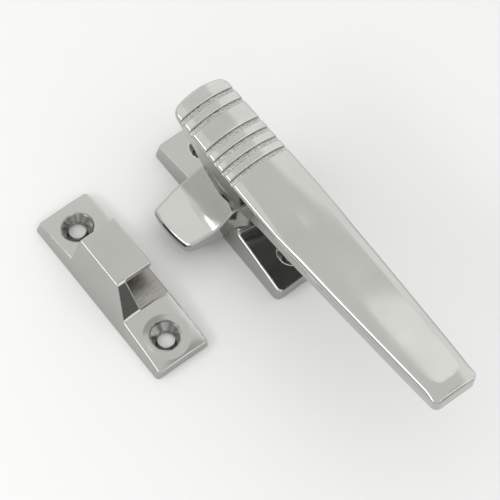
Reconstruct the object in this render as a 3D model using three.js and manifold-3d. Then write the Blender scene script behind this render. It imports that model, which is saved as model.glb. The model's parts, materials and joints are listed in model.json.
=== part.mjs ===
// Casement window fastener: a turning lever with a wedge nose on a screwed base plate,
// and the hook keeper that the nose locks into. Millimetres, +Z away from the window.
// Plates lie on z = 0. The grip runs along Y with its tail towards -Y, the nose points
// towards -X. Everything is first laid out about the pivot axis.
import * as THREE from 'three';
import { mergeVertices } from 'three/addons/utils/BufferGeometryUtils.js';
import Module from 'manifold-3d';

const wasm = await Module();
wasm.setup();

// ---- Driving dimensions ----
const GAP = 0.3;
const ROUND = 36;

const PLATE_LENGTH = 58;
const BASE_WIDTH = 24;
const KEEPER_WIDTH = 18;
const CORNER_RADIUS = 1.2;
const SCREW_SPACING = 42;
const SCREW_HOLE_RADIUS = 2.5;
const COUNTERSINK_RADIUS = 4.6;

const BASE_TOP = 7.3;
const BASE_TAB_ROOT = 5.9;
const BASE_TAB_END = 3.6;
const BASE_PAD_HALF = 9;
const BASE_PAD_ARCH = 35;
const BASE_WALL_LEAN = 0.37;

const PIVOT_RADIUS = 3.5;
const RIVET_HEAD_RADIUS = 5;
const RIVET_HEAD_LOW = 0.4;
const RIVET_HEAD_HIGH = 1.4;
const RIVET_TOP = 16;
const BACK_WASHER_LOW = 1.7;
const BACK_WASHER_HIGH = 2.4;
const WASHER_RADIUS = 6.2;
const SPRING_WASHER_MIDDLE = 3.3;
const SPRING_WASHER_THICKNESS = 0.5;
const SPRING_WASHER_WAVE = 0.25;
const BACK_RECESS_RADIUS = 7;
const BACK_RECESS_TOP = 4.4;
const THRUST_WASHER_THICKNESS = 0.5;

const HUB_RADIUS = 9.6;
const HUB_BOTTOM = BASE_TOP + GAP;
const HUB_JOIN = 21;
const WALL_LEAN = 0.04;
const CROWN_POWER = 2.4;
const GRIP_EDGE_ROUND = 0.8;

// The grip, from the head end to the tail end:
// [y, half width, height of the top edges, rise of the crown, height of the underside].
const GRIP = [
  [24.0, 6.6, 31.1, 1.2, 30.6],
  [23.6, 8.2, 31.7, 1.6, 30.4],
  [22.2, 9.1, 32.0, 2.0, 29.8],
  [18.8, 9.15, 32.0, 2.3, 27.3],
  [9.9, 9.3, 32.0, 2.3, 20.6],
  [9.0, 9.35, 32.0, 2.3, 19.6],
  [0, 9.6, 32.0, 2.3, 19.2],
  [-10, 9.8, 32.0, 2.3, 20.6],
  [-18, 9.9, 32.1, 2.2, 24.0],
  [-32, 9.8, 32.9, 2.0, 25.9],
  [-50, 9.2, 34.6, 1.7, 28.0],
  [-66, 8.5, 36.1, 1.5, 29.3],
  [-80, 7.9, 37.4, 1.3, 30.4],
  [-88.8, 7.4, 38.1, 1.1, 31.3],
  [-91.2, 6.9, 38.1, 0.9, 32.6],
  [-92.0, 5.6, 37.8, 0.7, 34.0],
];
const GRIP_MIDDLE = 6;

// Where the grooves across the head start; each runs GROOVE_WIDTH from there towards the tail.
const GROOVE_STARTS = [19.2, 15.0, 7.5, 3.6, -0.2, -4.0];
const GROOVE_WIDTH = 1.4;
const GROOVE_DEPTH = 0.9;

// The nose: [x, z] points along its top and its underside, seen from the tail, and [x, y]
// points along its two sides, seen from above. Its top also falls towards the head side, by
// NOSE_WEDGE for each millimetre past NOSE_WEDGE_START, so that it wedges into the keeper.
const NOSE_WEDGE = 0.1;
const NOSE_WEDGE_START = -3.2;
const NOSE_TOP = [[0, 24], [-6.1, 24], [-14, 14.1], [-16.2, 12.5], [-23.2, 9.8], [-25.6, 8.6]];
const NOSE_UNDER = [[-25.6, 5.9], [-24.4, 5.5], [-12.9, 6.1], [-12.2, HUB_BOTTOM], [0, HUB_BOTTOM]];
const NOSE_TAIL_SIDE = [[-6, -7.6], [-10.6, -6.6], [-16, -6.3], [-21.7, -5.1], [-24.4, -4.1]];
const NOSE_HEAD_SIDE = [
  [-25.3, 3.6], [-24.6, 10.4], [-23.2, 11.6], [-15.5, 12.3], [-11.8, 11.3], [-8.3, 10.1], [0, 8.8],
];

const KEEPER_OFFSET_X = -43.8;
const KEEPER_OFFSET_Y = 0.8;
const KEEPER_TAB_ROOT = 4.7;
const KEEPER_TAB_END = 3.2;
const KEEPER_HOLE_TOP = 3.9;
const KEEPER_TOP = 12.7;
const KEEPER_LEFT_LEAN = 0.4;
const KEEPER_RIGHT_LEAN = 0.1;
const KEEPER_BLOCK_BACK = 13.6;
const KEEPER_ROOF_FRONT = -3.8;
const KEEPER_ROOF_UNDER = 10.4;
const KEEPER_POCKET_FLOOR = 4.4;
const KEEPER_POCKET_FRONT = -10.6;
const KEEPER_POCKET_BACK = 11.2;
const KEEPER_POCKET_LEFT = -1;

// Heights and reaches that only have to clear the solid they cut.
const BEYOND = 40;

// ---- Solids ----

// The same geometry with every vertex moved by a function that changes the vector it gets.
function reshaped(geometry, change) {
  const position = geometry.attributes.position;
  const spot = new THREE.Vector3();
  for (let i = 0; i < position.count; i += 1) {
    spot.fromBufferAttribute(position, i);
    change(spot);
    position.setXYZ(i, spot.x, spot.y, spot.z);
  }
  return geometry;
}

// A closed geometry as a solid that can be joined and cut.
function solid(geometry) {
  geometry.deleteAttribute('normal');
  geometry.deleteAttribute('uv');
  const skin = mergeVertices(geometry, 1e-4);
  return new wasm.Manifold(new wasm.Mesh({
    numProp: 3,
    vertProperties: skin.attributes.position.array,
    triVerts: new Uint32Array(skin.index.array),
  }));
}

// A solid as a geometry that a mesh can show.
function geometryOf(body) {
  const skin = body.getMesh();
  const geometry = new THREE.BufferGeometry();
  geometry.setAttribute('position', new THREE.BufferAttribute(skin.vertProperties, 3));
  geometry.setIndex(new THREE.BufferAttribute(skin.triVerts, 1));
  geometry.computeVertexNormals();
  return geometry;
}

function outline(points) {
  return new THREE.Shape(points.map(([a, b]) => new THREE.Vector2(a, b)));
}

// An outline drawn in X and Y, standing on z = low.
function prismZ(shape, low, high) {
  const geometry = new THREE.ExtrudeGeometry(shape, { depth: high - low, bevelEnabled: false });
  return solid(geometry.translate(0, 0, low));
}

// An outline drawn in X and Z, running along Y.
function extrudedY(shape, low, high) {
  const geometry = new THREE.ExtrudeGeometry(shape, { depth: high - low, bevelEnabled: false });
  return geometry.rotateX(Math.PI / 2).translate(0, high, 0);
}

function prismY(shape, low, high) {
  return solid(extrudedY(shape, low, high));
}

// An outline drawn in Y and Z, running along X.
function prismX(shape, low, high) {
  const geometry = new THREE.ExtrudeGeometry(shape, { depth: high - low, bevelEnabled: false });
  const turn = new THREE.Matrix4().makeBasis(
    new THREE.Vector3(0, 1, 0), new THREE.Vector3(0, 0, 1), new THREE.Vector3(1, 0, 0));
  return solid(geometry.applyMatrix4(turn).translate(low, 0, 0));
}

function roundedRectangle(width, length, radius) {
  const x = width / 2;
  const y = length / 2;
  const shape = new THREE.Shape();
  shape.moveTo(-x + radius, -y);
  shape.lineTo(x - radius, -y);
  shape.absarc(x - radius, -y + radius, radius, -Math.PI / 2, 0);
  shape.lineTo(x, y - radius);
  shape.absarc(x - radius, y - radius, radius, 0, Math.PI / 2);
  shape.lineTo(-x + radius, y);
  shape.absarc(-x + radius, y - radius, radius, Math.PI / 2, Math.PI);
  shape.lineTo(-x, -y + radius);
  shape.absarc(-x + radius, -y + radius, radius, Math.PI, Math.PI * 1.5);
  return shape;
}

// A turned solid from a profile of [radius, z] points, about the Z axis.
function turned(profile, segments) {
  const points = profile.map(([radius, z]) => new THREE.Vector2(radius, z));
  return new THREE.LatheGeometry(points, segments).rotateX(Math.PI / 2);
}

// A countersunk screw hole to cut out of a plate whose surface there is at the height top.
function screwHole(y, top) {
  const seat = top - (COUNTERSINK_RADIUS - SCREW_HOLE_RADIUS);
  const profile = [
    [0, -1],
    [SCREW_HOLE_RADIUS, -1],
    [SCREW_HOLE_RADIUS, seat],
    [COUNTERSINK_RADIUS, top],
    [COUNTERSINK_RADIUS, top + 2],
    [0, top + 2],
  ];
  return solid(turned(profile, ROUND).translate(0, y, 0));
}

// A closed skin through a row of outlines with the same number of points each. The points
// go anticlockwise about the direction from the last outline to the first.
function loft(outlines) {
  const around = outlines[0].length;
  const rows = outlines.length - 1;
  const geometry = new THREE.CylinderGeometry(1, 1, 1, around, rows);
  return solid(reshaped(geometry, (spot) => {
    const row = Math.round((0.5 - spot.y) * rows);
    const turn = Math.atan2(spot.x, spot.z) / (2 * Math.PI);
    const column = (Math.round(turn * around) + around) % around;
    if (Math.hypot(spot.x, spot.z) > 0.5) {
      spot.copy(outlines[row][column]);
    } else {
      spot.set(0, 0, 0);
      outlines[row].forEach((point) => spot.addScaledVector(point, 1 / around));
    }
  }));
}

// ---- Lever ----

// How far the crowned top stands above its edges, at a part of the half width from the middle.
function crown(rise, part) {
  return rise * (1 - Math.abs(part) ** CROWN_POWER);
}

// The section of the grip at one of its rows: crowned top, leaning walls, flat underside.
function gripSection([y, half, edge, rise, under]) {
  const foot = half - WALL_LEAN * (edge - under);
  const right = [];
  [0.3, 0.6, 0.85].forEach((part) => right.push([part * half, edge + crown(rise, part)]));
  right.push([half - GRIP_EDGE_ROUND / 2, edge + 0.1]);
  right.push([half, edge - GRIP_EDGE_ROUND]);
  right.push([foot, under + 1]);
  right.push([foot - 1, under]);
  const left = right.map(([x, z]) => [-x, z]).reverse();
  const points = [[0, edge + rise], ...right, [0, under], ...left];
  return points.map(([x, z]) => new THREE.Vector3(x, y, z));
}

function noseSolid() {
  const plan = outline([...NOSE_TAIL_SIDE, ...NOSE_HEAD_SIDE]);
  const side = outline([...NOSE_TOP, ...NOSE_UNDER]);
  const reach = 2 * HUB_RADIUS;
  const wedge = reshaped(extrudedY(side, -reach, reach), (spot) => {
    if (spot.z > HUB_BOTTOM + GAP) {
      spot.z -= NOSE_WEDGE * (spot.y - NOSE_WEDGE_START);
    }
  });
  return prismZ(plan, 0, BEYOND).intersect(solid(wedge));
}

// What to cut away for one groove: its floor follows the crown of the grip, past both edges.
function grooveCutter(start) {
  const [, half, edge, rise] = GRIP[GRIP_MIDDLE];
  const floor = [];
  for (let step = -6; step <= 6; step += 1) {
    const part = step / 5;
    floor.push([part * half, edge - GROOVE_DEPTH + crown(rise, part)]);
  }
  const shape = outline([...floor, [BEYOND, BEYOND], [-BEYOND, BEYOND]]);
  return prismY(shape, start - GROOVE_WIDTH, start);
}

function leverSolid() {
  const hub = turned([
    [0, HUB_BOTTOM],
    [HUB_RADIUS, HUB_BOTTOM],
    [HUB_RADIUS, HUB_JOIN],
    [0, HUB_JOIN],
  ], ROUND);
  const seat = HUB_BOTTOM + THRUST_WASHER_THICKNESS + GAP;
  const bore = PIVOT_RADIUS + GAP;
  const pocket = turned([
    [0, HUB_BOTTOM - 1],
    [WASHER_RADIUS + GAP, HUB_BOTTOM - 1],
    [WASHER_RADIUS + GAP, seat],
    [bore, seat],
    [bore, RIVET_TOP + GAP],
    [0, RIVET_TOP + GAP],
  ], ROUND);
  let body = loft(GRIP.map(gripSection)).add(solid(hub)).add(noseSolid());
  GROOVE_STARTS.forEach((start) => {
    body = body.subtract(grooveCutter(start));
  });
  return body.subtract(solid(pocket));
}

// ---- Base plate ----

// The end outline of a plate whose two walls lean in as they rise to a height.
function wallOutline(foot, height, leftLean, rightLean) {
  return outline([
    [-foot, 0], [foot, 0], [foot - rightLean * height, height], [-foot + leftLean * height, height],
  ]);
}

// The plan of the raised pad, full width, with gently arched ends.
function padPlan() {
  const sweep = Math.asin(BASE_WIDTH / 2 / BASE_PAD_ARCH);
  const back = BASE_PAD_ARCH - BASE_PAD_HALF;
  const plan = new THREE.Shape();
  plan.absarc(0, -back, BASE_PAD_ARCH, Math.PI / 2 - sweep, Math.PI / 2 + sweep);
  plan.absarc(0, back, BASE_PAD_ARCH, -Math.PI / 2 - sweep, -Math.PI / 2 + sweep);
  return plan;
}

function basePlateSolid() {
  const half = PLATE_LENGTH / 2;
  const side = outline([
    [-half, 0], [half, 0], [half, BASE_TAB_END], [BASE_PAD_HALF - 1, BASE_TAB_ROOT],
    [-BASE_PAD_HALF + 1, BASE_TAB_ROOT], [-half, BASE_TAB_END],
  ]);
  const end = wallOutline(BASE_WIDTH / 2, BASE_TOP + 1, BASE_WALL_LEAN, BASE_WALL_LEAN);
  let body = prismZ(roundedRectangle(BASE_WIDTH, PLATE_LENGTH, CORNER_RADIUS), 0, BEYOND);
  body = body.intersect(prismX(side, -BEYOND, BEYOND)).add(prismZ(padPlan(), 0, BASE_TOP));
  body = body.intersect(prismY(end, -BEYOND, BEYOND));
  const tabFall = (BASE_TAB_ROOT - BASE_TAB_END) / (half - BASE_PAD_HALF);
  const holeTop = BASE_TAB_END + tabFall * (half - SCREW_SPACING / 2);
  [-1, 1].forEach((side) => {
    body = body.subtract(screwHole(side * SCREW_SPACING / 2, holeTop));
  });
  const pivotHole = turned([
    [0, -1],
    [BACK_RECESS_RADIUS, -1],
    [BACK_RECESS_RADIUS, BACK_RECESS_TOP],
    [PIVOT_RADIUS + GAP, BACK_RECESS_TOP],
    [PIVOT_RADIUS + GAP, BASE_TOP + 1],
    [0, BASE_TOP + 1],
  ], ROUND);
  return body.subtract(solid(pivotHole));
}

// ---- Pivot stack ----
function rivetSolid() {
  return solid(turned([
    [0, RIVET_HEAD_LOW],
    [RIVET_HEAD_RADIUS - 0.5, RIVET_HEAD_LOW],
    [RIVET_HEAD_RADIUS, RIVET_HEAD_LOW + 0.4],
    [RIVET_HEAD_RADIUS, RIVET_HEAD_HIGH],
    [PIVOT_RADIUS, RIVET_HEAD_HIGH],
    [PIVOT_RADIUS, RIVET_TOP],
    [0, RIVET_TOP],
  ], ROUND));
}

function washerGeometry(low, high) {
  const bore = PIVOT_RADIUS + GAP;
  return turned([[bore, low], [WASHER_RADIUS, low], [WASHER_RADIUS, high], [bore, high], [bore, low]], ROUND);
}

// A ring that rises and falls three times on its way round.
function springWasherSolid() {
  const low = SPRING_WASHER_MIDDLE - SPRING_WASHER_THICKNESS / 2;
  const ring = washerGeometry(low, low + SPRING_WASHER_THICKNESS);
  return solid(reshaped(ring, (spot) => {
    spot.z += SPRING_WASHER_WAVE * Math.cos(3 * Math.atan2(spot.y, spot.x));
  }));
}

// ---- Keeper ----
function keeperSolid() {
  const half = PLATE_LENGTH / 2;
  const side = outline([
    [-half, 0], [half, 0], [half, KEEPER_TAB_END], [KEEPER_BLOCK_BACK, KEEPER_TAB_ROOT],
    [KEEPER_BLOCK_BACK, KEEPER_TOP], [KEEPER_ROOF_FRONT, KEEPER_TOP],
    [KEEPER_POCKET_FRONT, KEEPER_TAB_ROOT], [-half, KEEPER_TAB_END],
  ]);
  const end = wallOutline(KEEPER_WIDTH / 2, KEEPER_TOP + 1, KEEPER_LEFT_LEAN, KEEPER_RIGHT_LEAN);
  let body = prismZ(roundedRectangle(KEEPER_WIDTH, PLATE_LENGTH, CORNER_RADIUS), 0, BEYOND);
  body = body.intersect(prismX(side, -BEYOND, BEYOND)).intersect(prismY(end, -BEYOND, BEYOND));
  const pocket = outline([
    [KEEPER_POCKET_FRONT, KEEPER_POCKET_FLOOR], [KEEPER_POCKET_BACK, KEEPER_POCKET_FLOOR],
    [KEEPER_POCKET_BACK, KEEPER_ROOF_UNDER], [KEEPER_ROOF_FRONT, KEEPER_ROOF_UNDER],
    [KEEPER_ROOF_FRONT, KEEPER_TOP + 1], [KEEPER_POCKET_FRONT, KEEPER_TOP + 1],
  ]);
  body = body.subtract(prismX(pocket, KEEPER_POCKET_LEFT, BEYOND));
  [-1, 1].forEach((side) => {
    body = body.subtract(screwHole(side * SCREW_SPACING / 2, KEEPER_HOLE_TOP));
  });
  return body;
}

// ---- Assembly ----
const POLISHED = { color: 0xc9c8c4, roughness: 0.12, metalness: 1 };
const STEEL = { color: 0x9a9a9a, roughness: 0.35, metalness: 1 };
const BRONZE = { color: 0xa98552, roughness: 0.4, metalness: 1 };

function piece(name, body, finish) {
  const mesh = new THREE.Mesh(geometryOf(body), new THREE.MeshStandardMaterial(finish));
  mesh.name = name;
  return mesh;
}

const fastener = new THREE.Group();
fastener.add(piece('base_plate', basePlateSolid(), POLISHED));
fastener.add(piece('lever', leverSolid(), POLISHED));
fastener.add(piece('pivot_rivet', rivetSolid(), STEEL));
const thrustTop = HUB_BOTTOM + THRUST_WASHER_THICKNESS;
fastener.add(piece('thrust_washer', solid(washerGeometry(HUB_BOTTOM, thrustTop)), BRONZE));
fastener.add(piece('spring_washer', springWasherSolid(), STEEL));
fastener.add(piece('back_washer', solid(washerGeometry(BACK_WASHER_LOW, BACK_WASHER_HIGH)), STEEL));

const keeper = piece('keeper', keeperSolid(), POLISHED);
keeper.position.set(KEEPER_OFFSET_X, KEEPER_OFFSET_Y, 0);

// The origin is the middle of the whole footprint, on the plane of the plates' backs.
const assembly = new THREE.Group();
assembly.add(fastener, keeper);
const box = new THREE.Box3().setFromObject(assembly);
assembly.position.set(-(box.min.x + box.max.x) / 2, -(box.min.y + box.max.y) / 2, 0);

const model = new THREE.Group();
model.add(assembly);
export default model;
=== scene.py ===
"""Casement window fastener: fine surfaces, finishes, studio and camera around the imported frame.

The three castings are made as surfaces of smooth distance fields, so that every edge has its
own polished radius. Fields are in millimetres about the lever's pivot axis or the keeper's
middle, with z up from the backs of the plates.
"""
import itertools
import json
import math

import bmesh
import bpy
import numpy as np
from mathutils import Matrix, Vector


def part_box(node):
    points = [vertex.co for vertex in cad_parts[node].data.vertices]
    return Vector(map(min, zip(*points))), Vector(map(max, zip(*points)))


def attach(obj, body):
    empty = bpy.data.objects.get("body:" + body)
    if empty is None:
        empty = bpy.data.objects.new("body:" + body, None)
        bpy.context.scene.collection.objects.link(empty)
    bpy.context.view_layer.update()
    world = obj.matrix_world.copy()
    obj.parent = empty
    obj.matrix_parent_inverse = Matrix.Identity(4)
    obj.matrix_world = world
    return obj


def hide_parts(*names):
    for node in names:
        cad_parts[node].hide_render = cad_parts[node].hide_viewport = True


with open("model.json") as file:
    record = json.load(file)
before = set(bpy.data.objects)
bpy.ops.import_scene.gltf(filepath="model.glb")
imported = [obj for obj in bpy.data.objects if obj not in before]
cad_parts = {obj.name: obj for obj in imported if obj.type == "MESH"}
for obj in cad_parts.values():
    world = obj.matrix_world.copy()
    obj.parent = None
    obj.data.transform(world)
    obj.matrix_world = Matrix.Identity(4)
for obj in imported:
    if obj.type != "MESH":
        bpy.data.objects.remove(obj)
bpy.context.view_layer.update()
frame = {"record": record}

# ---- Places from the frame ----
MM = 0.001
JOINT = {joint["name"]: joint for joint in frame["record"]["behaviour"]["joints"]}
PIVOT = np.array([JOINT["lever_turn"]["pos_m"][0], JOINT["lever_turn"]["pos_m"][1], 0.0])
KEEPER_LOW, KEEPER_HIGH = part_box("keeper")
KEEPER_MIDDLE = np.array([
    (KEEPER_LOW[0] + KEEPER_HIGH[0]) / 2, (KEEPER_LOW[1] + KEEPER_HIGH[1]) / 2, 0.0])

# ---- Driving dimensions, in millimetres ----
STEP = 0.33
GAP = 0.3
PLATE_HALF = 29.0
SCREW_HALF_SPACING = 21.0
HOLE_RADIUS = 2.5
SINK_RADIUS = 4.6
HOLE_RIM = 0.12
BACK_EDGE = 0.25
PLATE_END_LEAN = 0.06

BASE_HALF_WIDTH = 12.0
BASE_TOP = 7.3
BASE_LEAN = 0.37
BASE_CORNER = 1.6
BASE_EDGE = 0.55
TAB_ROOT = 5.9
TAB_END = 3.6
PAD_HALF = 9.0
PAD_ARCH = 35.0
PAD_EDGE = 0.5
PAD_FILLET = 1.0
BORE_EDGE = 0.15

PIVOT_RADIUS = 3.5
WASHER_RADIUS = 6.2
RECESS_RADIUS = 7.0
RECESS_TOP = 4.4
RIVET_TOP = 16.0
RIVET_CHAMFER = 0.5
RIVET_HEAD_RADIUS = 5.0
RIVET_HEAD_TOP = 1.4
BACK_WASHER = (1.7, 2.4)
SPRING_WASHER = (3.05, 3.55)
SPRING_WASHER_WAVE = 0.25
THRUST_WASHER_THICKNESS = 0.5
TURNED_EDGE = 0.12

HUB_RADIUS = 9.6
HUB_BOTTOM = BASE_TOP + GAP
HUB_JOIN = 22.0
HUB_EDGE = 0.5
HUB_FILLET = 1.6
SEAT_DEPTH = THRUST_WASHER_THICKNESS + GAP
SEAT_EDGE = 0.1
WALL_LEAN = 0.04
HEAD_END = 24.0
TAIL_END = -92.0
GROOVE_STARTS = (19.2, 15.0, 7.5, 3.6, -0.2, -4.0)
GROOVE_WIDTH = 1.4
GROOVE_DEPTH = 0.9
GROOVE_RIM = 0.32
GROOVE_FLOOR_CORNER = 0.15
WIDE_RIB_MIDDLE = 11.0
HEAD_BOW = 0.012
HEAD_CORNER = 2.2
TAIL_CORNER = 2.0
TAIL_LEAN = 0.04
GRIP_EDGE = 0.8
GRIP_EDGE_ALONG_TAIL = 1.5
UNDER_EDGE_AT_HUB = 0.5
UNDER_EDGE = 1.5
BORDER = 3.0
TAIL_BORDER = 4.6
BORDER_CORNER = 6.0
NOSE_ROOT = 24.5
NOSE_WEDGE = 0.1
NOSE_WEDGE_START = -3.2
NOSE_TIP = -25.4
NOSE_TIP_BOW = 0.013
NOSE_TIP_MIDDLE = 4.2
NOSE_TAIL_CORNER = 1.4
NOSE_HEAD_CORNER = 1.1
NOSE_EDGE = 0.9
NOSE_UNDER_EDGE = 0.6
NOSE_FILLET = 1.0
NOSE_TAIL_SIDE_FILLET = 2.7
LEVEL_CUT_EDGE = 0.4

KEEPER_HALF_WIDTH = 9.0
KEEPER_TOP = 12.7
KEEPER_LEFT_LEAN = 0.4
KEEPER_RIGHT_LEAN = 0.1
KEEPER_CORNER = 1.1
KEEPER_EDGE = 0.35
KEEPER_TAB_ROOT = 4.7
KEEPER_TAB_END = 3.2
KEEPER_DOME = 0.3
KEEPER_ROLL_OFF = 0.35
KEEPER_ROLL_REACH = 6.0
KEEPER_DISH = 0.22
KEEPER_DISH_REACH = 2.4
BLOCK_BACK = 13.6
BLOCK_EDGE = 0.5
ROOF_FRONT = -3.8
ROOF_UNDER = 10.4
POCKET_FLOOR = 4.4
POCKET_FRONT = -10.6
POCKET_BACK = 11.2
POCKET_LEFT = -1.0
POCKET_CORNER = 0.3
POCKET_RIM = 0.35
ROOF_EDGE = 0.4


# ---- Distance fields ----
# A factor a little under 1 on the field of a sloping face brings it near to a true distance.
def both(a, b, radius):
    """Inside both fields, with the edge between them rounded to a radius."""
    corner = np.hypot(np.maximum(a + radius, 0), np.maximum(b + radius, 0))
    return np.minimum(np.maximum(a, b), -radius) + corner


def either(a, b, radius):
    """Inside either field, with the corner between them filled to a radius."""
    corner = np.hypot(np.maximum(radius - a, 0), np.maximum(radius - b, 0))
    return np.maximum(np.minimum(a, b), radius) - corner


def cut(a, b, radius):
    """Inside a but not b, with the edge rounded to a radius."""
    return both(a, -b, radius)


def curve(points, soften):
    """A function through [place, value] points, straight between them, with softened bends."""
    step = 0.05
    places, values = np.array(sorted(points), dtype=float).T
    reach = 4 * soften
    fine = np.arange(places[0] - 2 * reach, places[-1] + 2 * reach, step)
    line = np.interp(fine, places, values)
    first = (values[1] - values[0]) / (places[1] - places[0])
    last = (values[-1] - values[-2]) / (places[-1] - places[-2])
    line = line + np.minimum(fine - places[0], 0) * first + np.maximum(fine - places[-1], 0) * last
    spread = np.arange(-soften, soften + step, step)
    weight = np.cos(spread / soften * math.pi / 2) ** 2
    padded = np.pad(line, len(spread) // 2, mode="edge")
    smooth = np.convolve(padded, weight / weight.sum(), mode="valid")[: len(fine)]
    return lambda place: np.interp(place, fine, smooth)


def smooth_step(value, low, high):
    """0 up to low, 1 from high on, and a smooth rise between."""
    part = np.clip((value - low) / (high - low), 0, 1)
    return part * part * (3 - 2 * part)


# ---- Lever ----
# Curves along the grip go by y, from the head to the tail; those of the nose go by x.
half_width = curve([
    (24, 9.0), (18.8, 9.15), (9.9, 9.3), (0, 9.6), (-10, 9.8), (-18, 9.9), (-32, 9.8),
    (-50, 9.2), (-66, 8.5), (-80, 7.9), (-92, 7.25)], 6)
top_edge = curve([(24, 32.0), (-12, 32.0), (-32, 32.9), (-50, 34.6), (-80, 37.35), (-92, 38.3)], 8)
crown = curve([(24, 2.1), (18, 2.3), (-5, 2.2), (-30, 0.9), (-50, 0.45), (-92, 0.25)], 8)
border_fall = curve([(24, 0.0), (-4, 0.1), (-14, 0.45), (-92, 0.55)], 4)
underside = curve([
    (24, 31.2), (22.2, 29.8), (9.5, 20.3), (8.5, 19.6), (0, 19.2), (-10, 20.6), (-18, 24.0),
    (-32, 25.9), (-50, 28.0), (-66, 29.3), (-92, 31.5)], 2.5)
NOSE_TOP = [(0, 31.6), (-14.9, 13.0), (-23.2, 9.8), (-26.5, 8.2)]
nose_top_tight = curve(NOSE_TOP, 1.4)
nose_top_wide = curve(NOSE_TOP, 5.0)
nose_under = curve([
    (-26.5, 5.6), (-24.4, 5.5), (-12.9, 6.1), (-12.2, HUB_BOTTOM), (0, HUB_BOTTOM)], 0.5)
nose_tail_side = curve([
    (-27, -3.2), (-24.3, -4.2), (-21.7, -5.1), (-16, -6.3), (-10.6, -6.6), (-6, -7.9), (0, -9.2)], 2.0)
nose_head_side = curve([
    (-27, 11.6), (-23.2, 11.6), (-19, 12.1), (-15.5, 12.4), (-11.8, 11.3), (-8.3, 10.1), (0, 8.8)], 1.2)


def grip_top(x, y):
    """Height of the grip's top, without its grooves."""
    half = half_width(y)
    part = np.minimum(np.abs(x) / half, 1.2)
    to_edge = -both(np.abs(x) - half, (TAIL_END - y) * BORDER / TAIL_BORDER, BORDER_CORNER)
    in_border = np.clip(1 - to_edge / BORDER, 0, 1.3)
    fall = border_fall(y) * (in_border ** 1.5 - 1)
    return top_edge(y) + crown(y) * (1 - part ** 2) - fall


def groove_field(x, y, z):
    """Less than 0 inside the grooves across the head."""
    floor = grip_top(x, y) - GROOVE_DEPTH
    grooves = None
    for start in GROOVE_STARTS:
        across = np.abs(y - (start - GROOVE_WIDTH / 2)) - GROOVE_WIDTH / 2
        grooves = across if grooves is None else np.minimum(grooves, across)
    return both(grooves, floor - z, GROOVE_FLOOR_CORNER)


def nose_field(x, y, z):
    """The locking nose: a steep facet and a flat toe, joined by a fold that widens to the tail side."""
    widening = smooth_step(-y, -11, 1.5)
    height = (1 - widening) * nose_top_tight(x) + widening * nose_top_wide(x)
    top = z - (np.minimum(height, NOSE_ROOT) - NOSE_WEDGE * (y - NOSE_WEDGE_START))
    tip = NOSE_TIP + NOSE_TIP_BOW * (y - NOSE_TIP_MIDDLE) ** 2 - x
    tail_side = nose_tail_side(x) - y
    head_side = y - nose_head_side(x)
    plan = both(both(tail_side, tip, NOSE_TAIL_CORNER), head_side, NOSE_HEAD_CORNER)
    upright = both(top * (0.9 - 0.25 * smooth_step(x, -17, -12)), plan, NOSE_EDGE)
    return both(both(upright, nose_under(x) - z, NOSE_UNDER_EDGE), x + 0 * z, 0.1)


def grip_field(x, y, z):
    """The grip: its crowned top, leaning sides and curved underside, without grooves."""
    edge = top_edge(y)
    top = (z - grip_top(x, y)) * 0.96
    side = np.abs(x) - half_width(y) + WALL_LEAN * np.maximum(edge - z, 0)
    tail = TAIL_END - y + 0 * x + TAIL_LEAN * (edge - z)
    head = y - HEAD_END + HEAD_BOW * x ** 2 + 0 * z
    under = (underside(y) - z) * 0.85
    plan = both(both(side, tail, TAIL_CORNER), head, HEAD_CORNER)
    along_tail = smooth_step(-y, 24, 36) * smooth_step(y, -91, -86)
    edge_radius = GRIP_EDGE + (GRIP_EDGE_ALONG_TAIL - GRIP_EDGE) * along_tail
    capped = both(plan, top, edge_radius)
    off_hub = smooth_step(np.abs(y - 0.5), 9.5, 13.5)
    return both(capped, under, UNDER_EDGE_AT_HUB + (UNDER_EDGE - UNDER_EDGE_AT_HUB) * off_hub)


def lever_field(x, y, z):
    """Grip, hub and nose run together, with the grooves, the bore and the washer's seat cut out."""
    grip = grip_field(x, y, z)
    hub_wall = np.hypot(x, y) - HUB_RADIUS + WALL_LEAN * (z - HUB_BOTTOM)
    hub = np.maximum(both(hub_wall, HUB_BOTTOM - z, HUB_EDGE), z - HUB_JOIN)
    body = either(grip, hub, HUB_FILLET)
    fillet = NOSE_FILLET + (NOSE_TAIL_SIDE_FILLET - NOSE_FILLET) * smooth_step(-y, 3.0, 8.0)
    body = either(body, nose_field(x, y, z), fillet)
    body = both(body, nose_under(x) - z, LEVEL_CUT_EDGE)  # the fillet stays above the base plate
    body = cut(body, groove_field(x, y, z), GROOVE_RIM)
    bore = np.maximum(np.hypot(x, y) - PIVOT_RADIUS - GAP, z - RIVET_TOP - GAP)
    seat = np.maximum(np.hypot(x, y) - WASHER_RADIUS - GAP, z - HUB_BOTTOM - SEAT_DEPTH)
    return cut(body, np.minimum(bore, seat), SEAT_EDGE)


# Masks: 1 on the places named, 0 elsewhere, with a short slope between.
def lever_cast(x, y, z):
    """1 on the floors and walls of the grooves, which are left as cast."""
    depth = grip_top(x, y) - z
    near = groove_field(x, y, z)
    return smooth_step(depth, 0.3, 0.6) * smooth_step(-near, -0.35, -0.1) * (z > top_edge(y) - 2)


def lever_unworked_and_painted_shade(x, y, z):
    """1 on the underside of the grip, which is only fettled and is darkened with painted shade."""
    below = smooth_step(underside(y) - z, -0.9, -0.1) * smooth_step(-y, 6.0, 12.0)
    return below * (z > 19)


def lever_brushed(x, y, z):
    """1 on the head and its narrow ribs, which are brushed crosswise."""
    off_wide_rib = smooth_step(np.abs(y - WIDE_RIB_MIDDLE), 2.0, 2.8)
    return smooth_step(y, -6.2, -5.2) * off_wide_rib * (z > top_edge(y) - 1)


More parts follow.
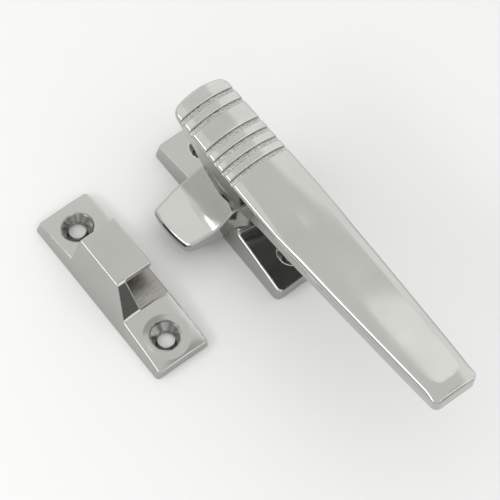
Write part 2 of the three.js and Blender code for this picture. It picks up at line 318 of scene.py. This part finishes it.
def lever_tucked(x, y, z):
    """1 on the wall above the nose, where a polishing wheel hardly reaches."""
    near = smooth_step(-np.hypot(x + 9.5, y - 1), -11.5, -8.5) * (x < -8.9)
    return near * smooth_step(z - np.minimum(nose_top_tight(x), NOSE_ROOT), 0.2, 1.0) * (z < 31.2)


# ---- Base plate ----
def screw_hole(x, y, z, middle, top):
    """Less than 0 inside a countersunk hole in a surface at the height top."""
    seat = top - (SINK_RADIUS - HOLE_RADIUS)
    away = np.hypot(x, y - middle)
    cone = (away - HOLE_RADIUS - np.clip(z - seat, 0, top - seat)) * 0.75
    return np.minimum(away - HOLE_RADIUS, cone)


def screw_holes(x, y, z, top):
    """Less than 0 inside either screw hole of a plate."""
    low = screw_hole(x, y, z, -SCREW_HALF_SPACING, top)
    return np.minimum(low, screw_hole(x, y, z, SCREW_HALF_SPACING, top))


BASE_TAB_FALL = (TAB_ROOT - TAB_END) / (PLATE_HALF - PAD_HALF + 1)
BASE_HOLE_TOP = TAB_END + BASE_TAB_FALL * (PLATE_HALF - SCREW_HALF_SPACING)


def base_field(x, y, z):
    """The base plate: two falling tabs, an arched pad, the screw holes, the bore and the recess."""
    away = np.abs(y)
    tab = z - (TAB_ROOT - BASE_TAB_FALL * np.maximum(away - PAD_HALF + 1, 0))
    arch = np.sqrt(PAD_ARCH ** 2 - np.minimum(np.abs(x), 20) ** 2) - (PAD_ARCH - PAD_HALF)
    pad = both(z - BASE_TOP, away - arch, PAD_EDGE)
    top = either(tab, pad, PAD_FILLET)
    side = (np.abs(x) - BASE_HALF_WIDTH + BASE_LEAN * z) * 0.94
    end = away - PLATE_HALF + PLATE_END_LEAN * z
    plan = both(side, end, BASE_CORNER)
    body = both(both(plan, top, BASE_EDGE), -z, BACK_EDGE)
    body = cut(body, screw_holes(x, y, z, BASE_HOLE_TOP), HOLE_RIM)
    bore = np.hypot(x, y) - PIVOT_RADIUS - GAP
    recess = np.maximum(np.hypot(x, y) - RECESS_RADIUS, z - RECESS_TOP)
    return cut(body, np.minimum(bore, recess), BORE_EDGE)


# ---- Keeper ----
KEEPER_HOLE_TOP = 3.9
keeper_tab = curve([
    (-PLATE_HALF, KEEPER_TAB_END), (POCKET_FRONT, KEEPER_TAB_ROOT), (BLOCK_BACK, KEEPER_TAB_ROOT),
    (PLATE_HALF, KEEPER_TAB_END)], 1.5)


def keeper_hollow(x, y, z):
    """Less than 0 inside the pocket, which is open to the right and in front of the roof."""
    middle = (POCKET_FRONT + POCKET_BACK) / 2
    along = np.abs(y - middle) - (POCKET_BACK - POCKET_FRONT) / 2
    room = both(both(along, POCKET_FLOOR - z, POCKET_CORNER), POCKET_LEFT - x, POCKET_CORNER)
    roof = both(ROOF_UNDER - z, ROOF_FRONT - y, ROOF_EDGE)
    return cut(room, roof, POCKET_CORNER)


def keeper_field(x, y, z):
    """The keeper: two falling tabs, the block with its ramp, the pocket and the screw holes."""
    dome = KEEPER_DOME * (x / KEEPER_HALF_WIDTH) ** 2
    roll_off = KEEPER_ROLL_OFF * np.clip(1 - (PLATE_HALF - np.abs(y)) / KEEPER_ROLL_REACH, 0, 1.2) ** 2
    to_low_rim = np.hypot(x, y + SCREW_HALF_SPACING) - SINK_RADIUS
    dish = KEEPER_DISH * smooth_step(-to_low_rim, -KEEPER_DISH_REACH, 0)
    tab = z - keeper_tab(y) + dome + roll_off + dish
    ramp_run = ROOF_FRONT - POCKET_FRONT
    ramp_rise = KEEPER_TOP - KEEPER_TAB_ROOT
    ramp_length = math.hypot(ramp_run, ramp_rise)
    ramp = ((z - KEEPER_TAB_ROOT) * ramp_run - (y - POCKET_FRONT) * ramp_rise) / ramp_length
    block = both(both(z - KEEPER_TOP, ramp, BLOCK_EDGE), y - BLOCK_BACK, BLOCK_EDGE)
    top = either(tab, block, KEEPER_EDGE)
    left = (-x - KEEPER_HALF_WIDTH + KEEPER_LEFT_LEAN * z) * 0.93
    right = x - KEEPER_HALF_WIDTH + KEEPER_RIGHT_LEAN * z
    plan = both(np.maximum(left, right), np.abs(y) - PLATE_HALF + PLATE_END_LEAN * z, KEEPER_CORNER)
    body = both(both(plan, top, KEEPER_EDGE), -z, BACK_EDGE)
    body = cut(body, keeper_hollow(x, y, z), POCKET_RIM)
    return cut(body, screw_holes(x, y, z, KEEPER_HOLE_TOP), HOLE_RIM)


def keeper_milled(x, y, z):
    """1 on the floor and the inner walls of the pocket."""
    near = smooth_step(-np.abs(keeper_hollow(x, y, z)), -0.3, -0.08)
    return near * smooth_step(-z, -ROOF_UNDER - 0.6, -ROOF_UNDER)


def machined(x, y, z, top):
    """1 on the cones, walls and rims of the screw holes."""
    return smooth_step(-np.abs(screw_holes(x, y, z, top)), -0.3, -0.16)


def machined_base(x, y, z):
    return machined(x, y, z, BASE_HOLE_TOP)


def machined_keeper(x, y, z):
    return machined(x, y, z, KEEPER_HOLE_TOP)


def cone_painted_reflections(x, y, z):
    """Painted reflections on the keeper's cones: light and dark streaks running down them, between 0 and 1,
    and a painted dark line round their rims.
    """
    turn = np.arctan2(y - np.sign(y) * SCREW_HALF_SPACING, x)
    down = 0.5 + 0.25 * np.sin(3 * turn + 0.6) + 0.15 * np.sin(7 * turn + 2.0) + 0.1 * np.sin(13 * turn)
    return np.maximum(down, smooth_step(z, KEEPER_HOLE_TOP - 0.35, KEEPER_HOLE_TOP - 0.1))


# ---- Surfaces from fields ----
def crossing_points(value, step):
    """For each grid cell that the surface passes: its index, and the mean of the crossings on its edges."""
    shape = tuple(n - 1 for n in value.shape)
    total = np.zeros(shape + (3,), dtype=np.float32)
    count = np.zeros(shape, dtype=np.float32)
    for axis in range(3):
        others = [k for k in range(3) if k != axis]
        for ends in itertools.product((0, 1), repeat=2):
            offset = [0, 0, 0]
            offset[others[0]], offset[others[1]] = ends
            near = value[tuple(slice(o, o + n) for o, n in zip(offset, shape))]
            offset[axis] = 1
            far = value[tuple(slice(o, o + n) for o, n in zip(offset, shape))]
            crossed = (near < 0) != (far < 0)
            part = np.where(crossed, near / np.where(crossed, near - far, 1), 0)
            total[..., axis] += part
            total[..., others[0]] += crossed * ends[0]
            total[..., others[1]] += crossed * ends[1]
            count += crossed
    mixed = count > 0
    cells = np.argwhere(mixed)
    return mixed, cells, (cells + total[mixed] / count[mixed][:, None]) * step


def quads_between(inside, index):
    """The quads of the surface: one for each grid edge that it crosses, through the cells round it."""
    quads = []
    for axis in range(3):
        u, v = (axis + 1) % 3, (axis + 2) % 3
        window = [slice(1, -1)] * 3
        window[axis] = slice(0, -1)
        near = inside[tuple(window)]
        window[axis] = slice(1, None)
        far = inside[tuple(window)]
        crossed = np.argwhere(near != far)
        leaving = near[tuple(crossed.T)]
        corners = []
        for du, dv in ((0, 0), (1, 0), (1, 1), (0, 1)):
            cell = crossed.copy()
            cell[:, u] += du
            cell[:, v] += dv
            corners.append(index[tuple(cell.T)])
        ring = np.stack(corners, axis=1)
        ring[~leaving] = ring[~leaving][:, ::-1]
        quads.append(ring)
    return np.concatenate(quads)


def slope_of(field, points, reach=0.02):
    """The gradient of the field at points."""
    slopes = []
    for axis in range(3):
        shift = np.zeros(3)
        shift[axis] = reach
        ahead = field(*(points + shift).T)
        behind = field(*(points - shift).T)
        slopes.append((ahead - behind) / (2 * reach))
    return np.stack(slopes, axis=1)


def settled(field, points, step, rounds):
    """The points moved along the gradient onto the surface."""
    for _ in range(rounds):
        slope = slope_of(field, points)
        steep = np.maximum((slope ** 2).sum(axis=1), 0.05)
        move = np.clip(field(*points.T) / steep, -step / 2, step / 2)
        points = points - move[:, None] * slope
    return points


def evened(points, quads, share):
    """Each point moved part of the way to the middle of its quads."""
    middle = points[quads].mean(axis=1)
    total = np.zeros_like(points)
    count = np.bincount(quads.ravel(), minlength=len(points))
    for axis in range(3):
        weights = np.repeat(middle[:, axis], 4)
        total[:, axis] = np.bincount(quads.ravel(), weights=weights, minlength=len(points))
    return points + share * (total / count[:, None] - points)


def surface(name, field, low, high, origin, masks):
    """A mesh object of the surface where field is 0, with each mask as a point attribute."""
    axes = [np.arange(a - 1.5 * STEP, b + 2.5 * STEP, STEP) for a, b in zip(low, high)]
    x, y, z = np.meshgrid(*axes, indexing="ij", sparse=True)
    value = field(x, y, z).astype(np.float32)
    inside = value < 0
    mixed, cells, points = crossing_points(value, STEP)
    index = np.full(mixed.shape, -1, dtype=np.int64)
    index[mixed] = np.arange(len(cells))
    quads = quads_between(inside, index)
    points = points + np.array([axis[0] for axis in axes])
    for _ in range(3):
        points = settled(field, points, STEP, 2)
        points = evened(points, quads, 0.5)
    points = settled(field, points, STEP, 5)
    slope = slope_of(field, points)
    normals = slope / np.maximum(np.linalg.norm(slope, axis=1), 1e-6)[:, None]

    mesh = bpy.data.meshes.new(name)
    mesh.from_pydata(points * MM + origin, [], quads.tolist())
    mesh.polygons.foreach_set("use_smooth", [True] * len(quads))
    mesh.update()
    mesh.normals_split_custom_set_from_vertices(normals.tolist())
    for mask_name, mask in masks.items():
        layer = mesh.attributes.new(mask_name, "FLOAT", "POINT")
        layer.data.foreach_set("value", np.asarray(mask(*points.T), dtype=np.float32))
    piece = bpy.data.objects.new(name, mesh)
    bpy.context.scene.collection.objects.link(piece)
    return piece


def turned(name, profile, origin, segments=128, wave=0.0):
    """A lathe piece from a closed loop of [radius, z] points; its height may rise and fall round it."""
    shell = bmesh.new()
    rings = []
    for k in range(segments):
        angle = 2 * math.pi * k / segments
        lift = wave * math.cos(3 * angle)
        ring = [shell.verts.new((r * math.cos(angle), r * math.sin(angle), z + lift)) for r, z in profile]
        rings.append(ring)
    for k, ring in enumerate(rings):
        following = rings[(k + 1) % segments]
        for i in range(len(profile)):
            j = (i + 1) % len(profile)
            shell.faces.new((ring[i], following[i], following[j], ring[j]))
    bmesh.ops.remove_doubles(shell, verts=shell.verts, dist=1e-5)
    bmesh.ops.dissolve_degenerate(shell, edges=shell.edges, dist=1e-6)
    bmesh.ops.recalc_face_normals(shell, faces=shell.faces)
    bmesh.ops.transform(shell, matrix=Matrix.Translation(origin) @ Matrix.Scale(MM, 4), verts=shell.verts)
    mesh = bpy.data.meshes.new(name)
    shell.to_mesh(mesh)
    shell.free()
    mesh.polygons.foreach_set("use_smooth", [True] * len(mesh.polygons))
    piece = bpy.data.objects.new(name, mesh)
    bpy.context.scene.collection.objects.link(piece)
    bevel = piece.modifiers.new("edge", "BEVEL")
    bevel.width = TURNED_EDGE * MM
    bevel.segments = 3
    bevel.limit_method = "ANGLE"
    bevel.angle_limit = math.radians(30)
    bevel.harden_normals = True
    return piece


# ---- Finishes ----
class Finish:
    """A metal: its Principled shader, and short ways to add and join nodes."""

    def __init__(self, name, color, roughness):
        self.material = bpy.data.materials.new(name)
        self.material.use_nodes = True
        self.nodes = self.material.node_tree.nodes
        self.links = self.material.node_tree.links
        self.shader = self.nodes["Principled BSDF"]
        self.shader.inputs["Metallic"].default_value = 1.0
        self.shader.inputs["Base Color"].default_value = (*color, 1)
        self.shader.inputs["Roughness"].default_value = roughness
        self.where = self.nodes.new("ShaderNodeTexCoord").outputs["Object"]

    def set(self, socket, value):
        """Link a node's output to a socket, or put a plain value on it."""
        if isinstance(value, bpy.types.NodeSocket):
            self.links.new(value, socket)
        else:
            socket.default_value = value

    def noise(self, grain_mm, detail=2.0, stretch=(1, 1, 1)):
        """Noise whose grains are about grain_mm across, longer along an axis where stretch is over 1."""
        scale = self.nodes.new("ShaderNodeMapping")
        scale.inputs["Scale"].default_value = [1 / (grain_mm * MM * s) for s in stretch]
        self.links.new(self.where, scale.inputs["Vector"])
        noise = self.nodes.new("ShaderNodeTexNoise")
        noise.inputs["Scale"].default_value = 1.0
        noise.inputs["Detail"].default_value = detail
        self.links.new(scale.outputs["Vector"], noise.inputs["Vector"])
        return noise.outputs["Fac"]

    def mask(self, name):
        """A mask of the piece by name; 0 on a piece that has none of that name."""
        node = self.nodes.new("ShaderNodeAttribute")
        node.attribute_name = name
        return node.outputs["Fac"]

    def spread(self, value, low, high, to_low, to_high):
        """The value's range low to high, taken to another range and held there."""
        node = self.nodes.new("ShaderNodeMapRange")
        self.set(node.inputs["Value"], value)
        for socket, number in zip(("From Min", "From Max", "To Min", "To Max"), (low, high, to_low, to_high)):
            self.set(node.inputs[socket], number)
        return node.outputs["Result"]

    def maths(self, operation, a, b):
        """Two numbers joined by one of the Math node's operations."""
        node = self.nodes.new("ShaderNodeMath")
        node.operation = operation
        self.set(node.inputs[0], a)
        self.set(node.inputs[1], b)
        return node.outputs["Value"]

    def mixed(self, share, a, b):
        """The number a where share is 0, b where it is 1."""
        node = self.nodes.new("ShaderNodeMix")
        for socket, value in zip((node.inputs[0], node.inputs[2], node.inputs[3]), (share, a, b)):
            self.set(socket, value)
        return node.outputs[0]

    def tinted(self, share, a, b):
        """The colour a where share is 0, b where it is 1."""
        node = self.nodes.new("ShaderNodeMix")
        node.data_type = "RGBA"
        for socket, value in zip((node.inputs[0], node.inputs[6], node.inputs[7]), (share, a, b)):
            self.set(socket, value)
        return node.outputs[2]

    def bump(self, height, depth_mm, normal=None):
        """A normal bumped by a height between 0 and 1, on top of another normal if there is one."""
        node = self.nodes.new("ShaderNodeBump")
        node.inputs["Distance"].default_value = depth_mm * MM
        self.set(node.inputs["Height"], height)
        if normal is not None:
            self.links.new(normal, node.inputs["Normal"])
        return node.outputs["Normal"]

    def finish(self, color=None, roughness=None, normal=None):
        """The material, with what is given linked to its shader."""
        for name, value in (("Base Color", color), ("Roughness", roughness), ("Normal", normal)):
            if value is not None:
                self.links.new(value, self.shader.inputs[name])
        return self.material


def polished_casting():
    """Bright polished casting: hand-polishing waves and hairlines, with its rough-cast, brushed, milled,
    turned, rougher underside and tucked-away places told apart by the masks on the pieces; painted
    reflections streak the keeper's cones and painted shade darkens the grip's underside."""
    metal = Finish("polished_casting", (0.46, 0.461, 0.435), 0.12)
    cast, brushed, milled = metal.mask("cast"), metal.mask("brushed"), metal.mask("milled")
    turned_face, unworked_and_painted_shade, tucked = metal.mask("machined"), metal.mask("unworked_and_painted_shade"), metal.mask("tucked")

    tarnish = metal.spread(metal.noise(14, 3), 0.35, 0.7, 0, 1)
    tone = metal.tinted(tarnish, (0.47, 0.471, 0.446, 1), (0.445, 0.445, 0.419, 1))
    cross_lines = metal.noise(0.22, 3, (30, 1, 30))
    brushing = metal.maths("MULTIPLY", brushed, metal.spread(cross_lines, 0.4, 0.7, 0, 1))
    tone = metal.tinted(brushing, tone, (0.54, 0.54, 0.515, 1))
    grit = metal.spread(metal.noise(0.3, 3), 0.35, 0.65, 0, 1)
    tone = metal.tinted(cast, tone, metal.tinted(grit, (0.3, 0.297, 0.275, 1), (0.6, 0.597, 0.565, 1)))
    cutter_marks = metal.spread(metal.noise(0.22, 2, (14, 1, 1)), 0.3, 0.7, 0, 1)
    milled_tone = metal.tinted(cutter_marks, (0.24, 0.233, 0.215, 1), (0.44, 0.432, 0.41, 1))
    tone = metal.tinted(milled, tone, milled_tone)
    # Painted reflections: light and dark streaks down the keeper's cones, and a painted dark line round their
    # rims.
    machined_tone_with_painted_reflections = metal.tinted(metal.mask("cone_painted_reflections"), (0.46, 0.455, 0.425, 1), (0.13, 0.127, 0.12, 1))
    tone = metal.tinted(turned_face, tone, machined_tone_with_painted_reflections)
    # Painted shade: the grip's underside is darkened, as shade under the grip, besides being rougher.
    tone = metal.tinted(unworked_and_painted_shade, tone, (0.15, 0.147, 0.14, 1))

    hairlines = metal.noise(0.12, 2, (1, 60, 60))
    roughness = metal.spread(metal.noise(6, 3), 0.3, 0.75, 0.06, 0.13)
    roughness = metal.maths("ADD", roughness, metal.spread(hairlines, 0.45, 0.75, 0, 0.05))
    for place, value in ((cast, 0.38), (milled, 0.36), (turned_face, 0.13), (unworked_and_painted_shade, 0.45), (tucked, 0.42)):
        roughness = metal.mixed(place, roughness, value)

    waves = metal.bump(metal.noise(9, 1), 0.02)
    fine = metal.bump(hairlines, 0.0006, waves)
    fine = metal.bump(metal.maths("MULTIPLY", cutter_marks, milled), 0.02, fine)
    fine = metal.bump(metal.maths("MULTIPLY", metal.noise(0.35, 3), cast), 0.16, fine)
    return metal.finish(tone, roughness, fine)


def turned_metal(name, color, roughness, grain_mm):
    """Plain turned or stamped metal with fine marks and slight stains."""
    metal = Finish(name, color, roughness)
    dark = tuple(0.72 * part for part in color)
    stain = metal.spread(metal.noise(2.5, 4), 0.4, 0.7, 0, 1)
    tone = metal.tinted(stain, (*color, 1), (*dark, 1))
    marks = metal.noise(grain_mm, 2, (1, 1, 6))
    rough = metal.spread(marks, 0.3, 0.7, roughness - 0.08, roughness + 0.1)
    return metal.finish(tone, rough, metal.bump(marks, 0.01))


# ---- Pieces ----
def settle(piece, material, body, slot, *nodes):
    """Give a piece its material and its body, and hide the CAD nodes that it stands for; the slot is not
    used.
    """
    piece.data.materials.append(material)
    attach(piece, body)
    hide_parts(*nodes)


def span(node, origin):
    """Lowest and highest corners of a CAD node in millimetres about an origin."""
    low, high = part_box(node)
    return (np.array(low) - origin) / MM, (np.array(high) - origin) / MM


casting = polished_casting()
# The lever's underside mask also carries painted shade.
lever = surface("lever_casting", lever_field, *span("lever", PIVOT), PIVOT,
                {"cast": lever_cast, "unworked_and_painted_shade": lever_unworked_and_painted_shade, "brushed": lever_brushed,
                 "tucked": lever_tucked})
settle(lever, casting, "lever", "polished_casting", "lever")
base = surface("base_plate_casting", base_field, *span("base_plate", PIVOT), PIVOT,
               {"machined": machined_base})
settle(base, casting, "base", "polished_casting", "base_plate")
# The keeper's cone mask carries painted reflections.
keeper = surface("keeper_casting", keeper_field, *span("keeper", KEEPER_MIDDLE), KEEPER_MIDDLE,
                 {"milled": keeper_milled, "machined": machined_keeper, "cone_painted_reflections": cone_painted_reflections})
settle(keeper, casting, "keeper", "polished_casting", "keeper")

steel = turned_metal("rivet_steel", (0.52, 0.51, 0.5), 0.3, 0.2)
spring_steel = turned_metal("spring_steel", (0.3, 0.3, 0.31), 0.32, 0.15)
bronze = turned_metal("washer_bronze", (0.6, 0.42, 0.22), 0.34, 0.2)


def washer(low, high):
    """The profile of a flat ring round the rivet, between two heights."""
    bore = PIVOT_RADIUS + GAP
    return [(bore, low), (WASHER_RADIUS, low), (WASHER_RADIUS, high), (bore, high)]


rivet_profile = [
    (0, 0.4), (1.6, 0.42), (3.0, 0.52), (4.1, 0.7), (4.8, 0.95), (RIVET_HEAD_RADIUS, 1.15),
    (RIVET_HEAD_RADIUS, RIVET_HEAD_TOP), (PIVOT_RADIUS, RIVET_HEAD_TOP),
    (PIVOT_RADIUS, RIVET_TOP - RIVET_CHAMFER), (PIVOT_RADIUS - RIVET_CHAMFER, RIVET_TOP), (0, RIVET_TOP)]
rivet = turned("pivot_rivet_turned", rivet_profile, PIVOT)
settle(rivet, steel, "lever", "rivet_steel", "pivot_rivet")
back_washer = turned("back_washer_stamped", washer(*BACK_WASHER), PIVOT)
settle(back_washer, steel, "lever", "rivet_steel", "back_washer")
spring_washer = turned("spring_washer_waved", washer(*SPRING_WASHER), PIVOT, wave=SPRING_WASHER_WAVE)
settle(spring_washer, spring_steel, "base", "spring_steel", "spring_washer")
thrust_washer = turned(
    "thrust_washer_bronze", washer(HUB_BOTTOM, HUB_BOTTOM + THRUST_WASHER_THICKNESS), PIVOT)
settle(thrust_washer, bronze, "lever", "washer_bronze", "thrust_washer")


# ---- Floor ----
def floor():
    """A plain pale ground, wide enough for every view."""
    mesh = bpy.data.meshes.new("floor")
    half = 3.0
    corners = [(-half, -half, 0), (half, -half, 0), (half, half, 0), (-half, half, 0)]
    mesh.from_pydata(corners, [], [(0, 1, 2, 3)])
    ground = bpy.data.objects.new("floor", mesh)
    bpy.context.scene.collection.objects.link(ground)
    paint = bpy.data.materials.new("floor_paint")
    paint.use_nodes = True
    shader = paint.node_tree.nodes["Principled BSDF"]
    shader.inputs["Base Color"].default_value = (0.75, 0.75, 0.75, 1)
    shader.inputs["Roughness"].default_value = 0.8
    shader.inputs["Specular IOR Level"].default_value = 0.1
    mesh.materials.append(paint)


floor()


# ---- Light ----
# The dome's brightness overhead, and what is added to it towards a direction: the direction,
# how far round towards it the change starts and ends (as a cosine), and the amount.
DOME = 1.03
DOME_CHANGES = (
    ((1, 0, 0), 0.42, 0.56, 0.3),
    ((0, 1, 0), 0.40, 0.60, 0.08),
    ((-1, 0, 0), 0.60, 0.85, -0.28),
    ((0, -1, 0), 0.86, 0.95, -0.85),
    ((0.26, -0.6, 0.76), 0.9, 0.97, 0.5),
    ((0.26, -0.05, 0.965), 0.99, 0.998, -0.4),
)


def studio():
    """A soft dome: brighter away from the keeper and beyond the head, dimmer low on the keeper's
    side, dark low beyond the tail, with a bright and a dim patch overhead."""
    world = bpy.data.worlds.new("studio")
    bpy.context.scene.world = world
    world.use_nodes = True
    nodes, links = world.node_tree.nodes, world.node_tree.links
    where = nodes.new("ShaderNodeTexCoord").outputs["Generated"]
    level = None
    for towards, start, end, amount in DOME_CHANGES:
        facing = nodes.new("ShaderNodeVectorMath")
        facing.operation = "DOT_PRODUCT"
        links.new(where, facing.inputs[0])
        facing.inputs[1].default_value = towards
        change = nodes.new("ShaderNodeMapRange")
        change.interpolation_type = "SMOOTHSTEP"
        links.new(facing.outputs["Value"], change.inputs["Value"])
        for socket, number in (("From Min", start), ("From Max", end), ("To Min", 0), ("To Max", amount)):
            change.inputs[socket].default_value = number
        total = nodes.new("ShaderNodeMath")
        total.inputs[0].default_value = DOME
        if level is not None:
            links.new(level, total.inputs[0])
        links.new(change.outputs["Result"], total.inputs[1])
        level = total.outputs["Value"]
    links.new(level, nodes["Background"].inputs["Strength"])
    nodes["Background"].inputs["Color"].default_value = (1, 1, 0.99, 1)


def softbox(name, place, aim, width, height, level):
    """A lamp at a place, shining at another; both are in metres. Level is its brightness."""
    data = bpy.data.lights.new(name, "AREA")
    data.shape = "RECTANGLE"
    data.size, data.size_y = width, height
    data.energy = level * math.pi * width * height
    lamp = bpy.data.objects.new(name, data)
    lamp.location = place
    lamp.rotation_euler = (Vector(place) - Vector(aim)).to_track_quat("Z", "Y").to_euler()
    lamp.visible_camera = False
    bpy.context.scene.collection.objects.link(lamp)


studio()
softbox("softbox_left", (-0.33, 0.11, 0.26), (0, 0.03, 0.02), 0.28, 0.10, 4.5)
softbox("softbox_upper_left", (-0.33, 0.40, 0.62), (-0.01, 0.03, 0.01), 0.24, 0.24, 0.22)
softbox("softbox_over_tail", (0.095, 0.033, 0.2), (0.095, 0.033, 0.0), 0.08, 0.062, 0.42)


# ---- Camera ----
# Angles in degrees, distance in metres, lens and aim (from the pivot) in millimetres.
CAMERA_AZIMUTH = -37.258
CAMERA_ELEVATION = 64.872
CAMERA_ROLL = 0.201
CAMERA_DISTANCE = 1.0164
CAMERA_LENS = 260.2
CAMERA_AIM = (-8.247, -11.732, 0)


def camera():
    """The view: its bearing and height, and a slight roll, aimed between the plates and the lever."""
    azimuth, elevation = math.radians(CAMERA_AZIMUTH), math.radians(CAMERA_ELEVATION)
    roll = math.radians(CAMERA_ROLL)
    back = Vector((math.sin(azimuth) * math.cos(elevation), -math.cos(azimuth) * math.cos(elevation),
                   math.sin(elevation)))
    right = Vector((math.cos(azimuth), math.sin(azimuth), 0))
    up = back.cross(right)
    turned_right = right * math.cos(roll) + up * math.sin(roll)
    turned_up = back.cross(turned_right)
    target = Vector(PIVOT) + Vector(CAMERA_AIM) * MM
    data = bpy.data.cameras.new("camera")
    data.lens = CAMERA_LENS
    data.sensor_width = 36
    data.clip_start = 0.05
    view = bpy.data.objects.new("camera", data)
    place = target + back * CAMERA_DISTANCE
    view.matrix_world = Matrix((
        (turned_right.x, turned_up.x, back.x, place.x),
        (turned_right.y, turned_up.y, back.y, place.y),
        (turned_right.z, turned_up.z, back.z, place.z),
        (0, 0, 0, 1)))
    bpy.context.scene.collection.objects.link(view)
    bpy.context.scene.camera = view


camera()
bpy.context.scene.view_settings.view_transform = "Standard"
